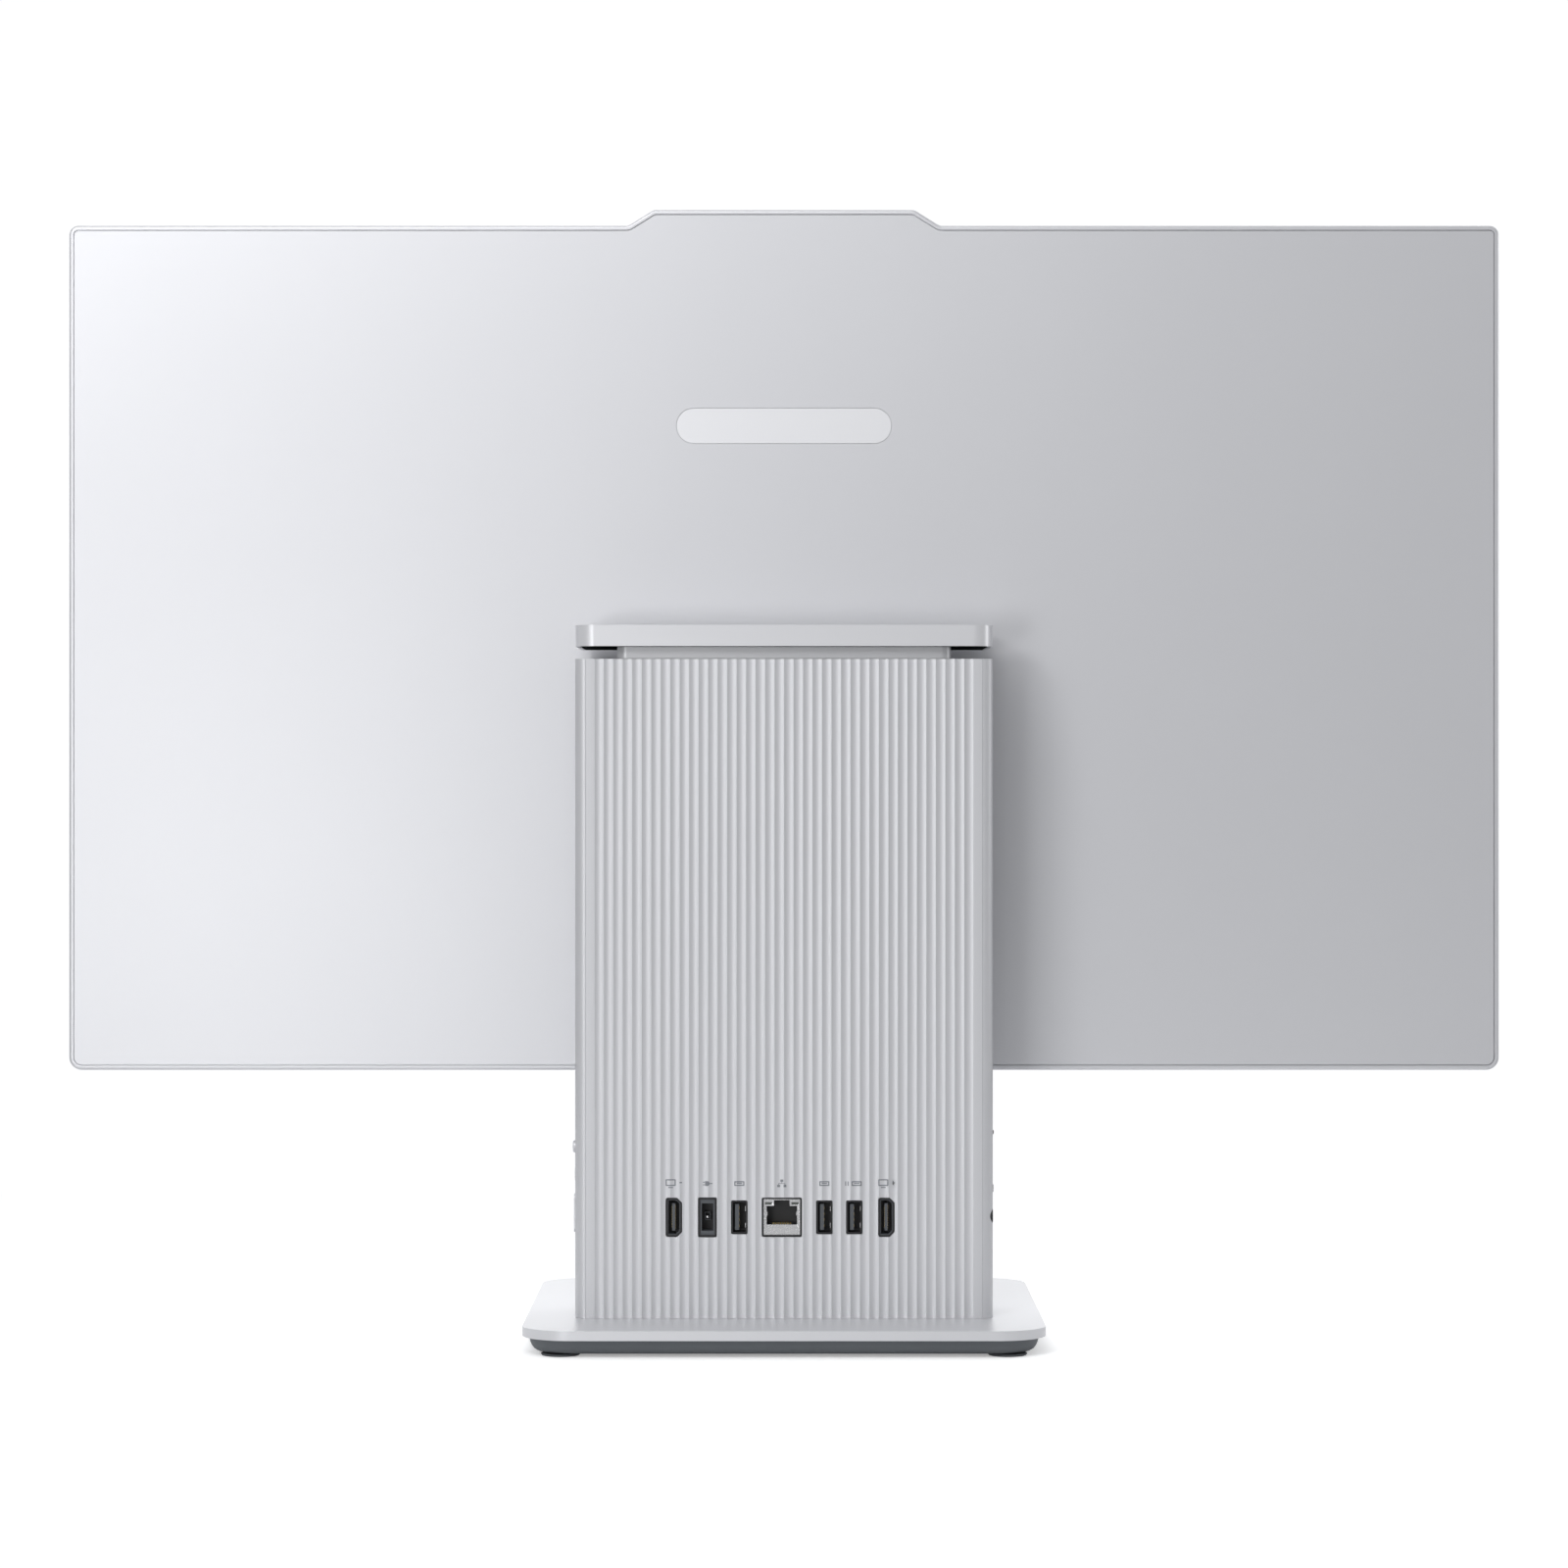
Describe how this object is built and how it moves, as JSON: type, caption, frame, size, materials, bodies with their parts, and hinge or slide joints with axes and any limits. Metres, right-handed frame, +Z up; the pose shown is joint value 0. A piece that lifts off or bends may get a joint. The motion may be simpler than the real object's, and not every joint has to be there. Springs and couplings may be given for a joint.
{
  "type": "all-in-one computer",
  "caption": "Flat all-in-one desktop computer: thin display tilting on a fluted tower that holds the computer, with rear sockets and a rounded base plate.",
  "frame": {"origin": "middle of the footprint, on the surface that the computer stands on", "axes": "+Z up; the screen faces -Y and the rear sockets face +Y; +X is the right-hand side of a person facing the screen"},
  "size_m": [0.613, 0.194, 0.4787],
  "materials": {
    "silver_base": "satin silver paint on metal",
    "silver_housing": "fine-grained silver paint on plastic",
    "fluted_silver": "silver moulded flutes, satin",
    "slate_plastic": "dark slate, matt",
    "black_plastic": "black, matt",
    "rubber": "dark rubber",
    "steel": "bare steel",
    "cast_alloy": "cast and bare aluminium",
    "backlight_white": "white sheet pack in a tray",
    "circuit_board": "green solder mask",
    "copper": "bare copper",
    "screen_glass": "black glossy screen",
    "lens_glass": "coated camera lens",
    "status_lamp": "clear light guide"
  },
  "bodies": {
    "stand": {"base_plate": "silver_base", "front_shell": "silver_housing", "cap_shell": "silver_housing", "neck_block": "silver_housing", "rear_shell": "fluted_silver", "base_skirt": "slate_plastic", "speaker_grille": "slate_plastic", "top_vent_plate": "slate_plastic", "cap_underside": "black_plastic", "video_in_port": "black_plastic", "video_out_port": "black_plastic", "usb_port_1": "black_plastic", "usb_port_2": "black_plastic", "usb_port_3": "black_plastic", "dc_power_inlet": "black_plastic", "side_usb_port": "black_plastic", "usb_c_port": "black_plastic", "audio_jack": "black_plastic", "speaker_left": "black_plastic", "speaker_right": "black_plastic", "fan_housing": "black_plastic", "foot_front_left": "rubber", "foot_front_right": "rubber", "foot_rear_left": "rubber", "foot_rear_right": "rubber", "base_weight": "steel", "column_frame": "steel", "base_screw_1": "steel", "base_screw_2": "steel", "base_screw_3": "steel", "base_screw_4": "steel", "hinge_clevis_left": "steel", "hinge_clevis_right": "steel", "hinge_shaft_left": "steel", "hinge_shaft_right": "steel", "processor": "steel", "network_port": "steel", "fin_stack": "cast_alloy", "mainboard": "circuit_board", "memory_module_1": "circuit_board", "memory_module_2": "circuit_board", "ssd_card": "circuit_board", "side_io_board": "circuit_board", "heat_pipe": "copper", "status_light": "status_lamp"},
    "display": {"display_rim": "silver_housing", "rear_cover": "silver_housing", "mid_frame": "black_plastic", "lcd_panel": "screen_glass", "backlight_unit": "backlight_white", "panel_board": "circuit_board", "chin_strip": "silver_housing", "camera_cover": "screen_glass", "camera_lens": "lens_glass", "webcam_module": "black_plastic", "tilt_arm": "cast_alloy"},
    "power_button": {"power_button": "silver_housing"},
    "mode_button": {"mode_button": "silver_housing"},
    "fan": {"fan_impeller": "black_plastic"},
    "shutter": {"privacy_shutter": "slate_plastic"}
  },
  "joints": [
    {"name": "display_tilt", "type": "hinge", "parent": "stand", "child": "display", "pos_m": [0, 0, 0.283], "axis": [-1, 0, 0], "range_deg": [-5, 15]},
    {"name": "power_button_press", "type": "slide", "parent": "stand", "child": "power_button", "axis": [-1, 0, 0], "range_m": [0, 0.0008], "stiffness_N_per_m": 900},
    {"name": "mode_button_press", "type": "slide", "parent": "stand", "child": "mode_button", "axis": [-1, 0, 0], "range_m": [0, 0.0005], "stiffness_N_per_m": 900},
    {"name": "shutter_slide", "type": "slide", "parent": "display", "child": "shutter", "axis": [1, 0, 0], "range_m": [0, 0.007]},
    {"name": "fan_spin", "type": "hinge", "parent": "stand", "child": "fan", "pos_m": [0, 0.042, 0.225], "axis": [0, 1, 0], "continuous": true}
  ]
}
